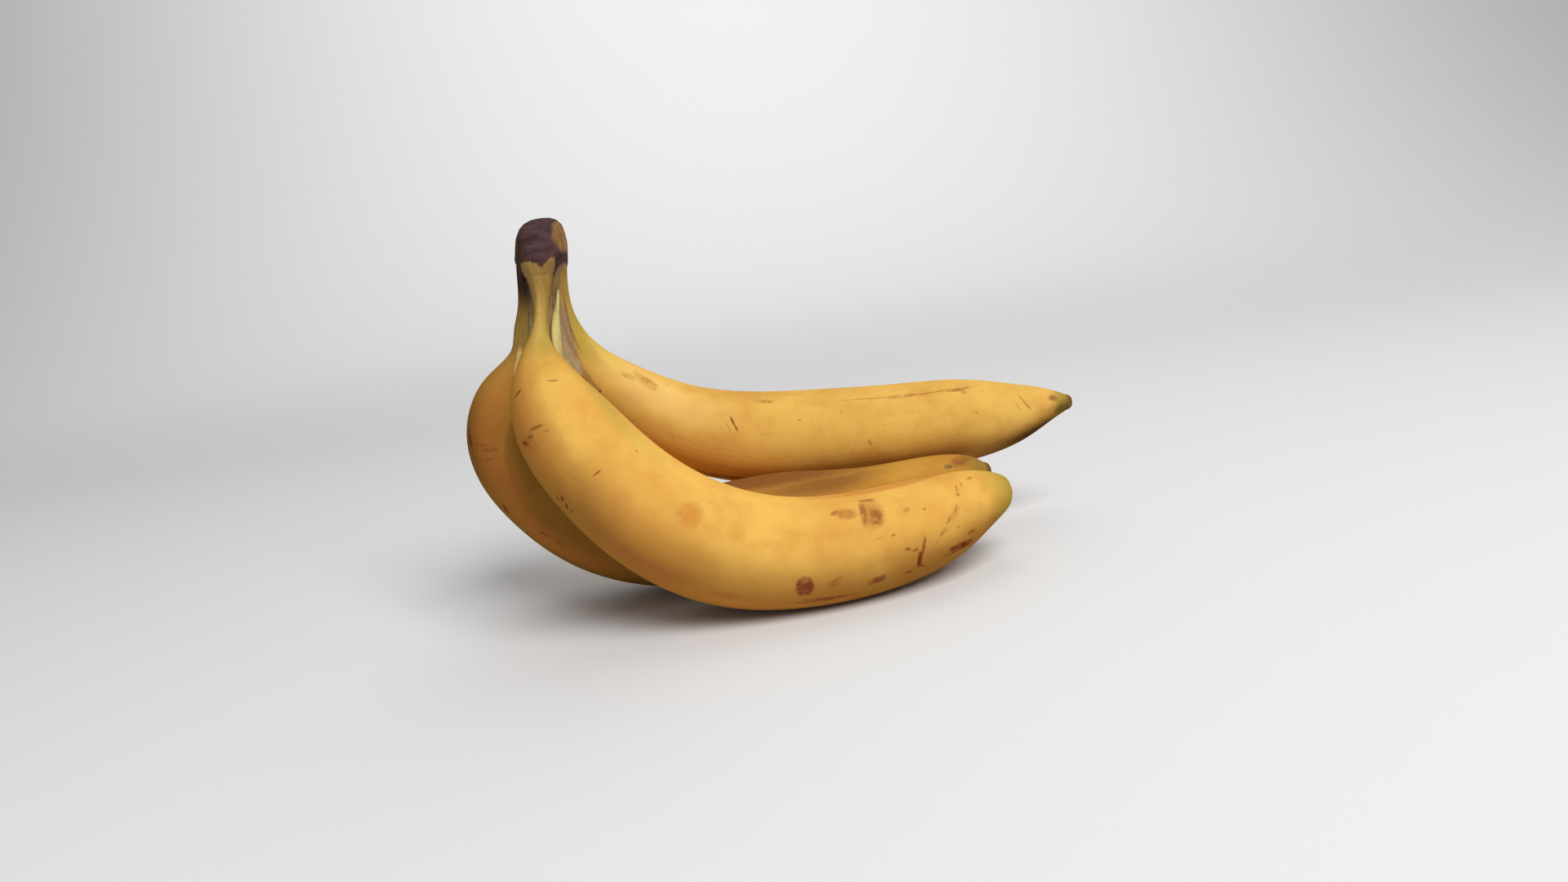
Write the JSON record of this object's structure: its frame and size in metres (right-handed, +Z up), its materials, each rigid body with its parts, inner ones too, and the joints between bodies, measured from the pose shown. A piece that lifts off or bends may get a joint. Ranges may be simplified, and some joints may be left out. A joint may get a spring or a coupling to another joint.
{
  "type": "banana hand",
  "caption": "Small hand of ripe bananas joined side by side at a woody crown, lying on their bellies with the crown standing up.",
  "frame": {"origin": "on the surface that the hand lies on, under the middle of its bounding box", "axes": "+X from the crown to the tips, to the right in the picture; +Y away from the camera, from the front finger to the rear one; +Z up"},
  "size_m": [0.2123, 0.0981, 0.1308],
  "materials": {
    "peel": "satin ripe yellow peel, greenish at the stalk and tip, with brown bruises and flecks",
    "peel_shaded": "satin ripe peel, a little browner than that of the other fingers",
    "crown": "dry, dull, dark brown plant fibre"
  },
  "bodies": {
    "root": {"banana_front": "peel", "banana_rear": "peel", "banana_outer": "peel_shaded", "crown": "crown"}
  },
  "joints": []
}
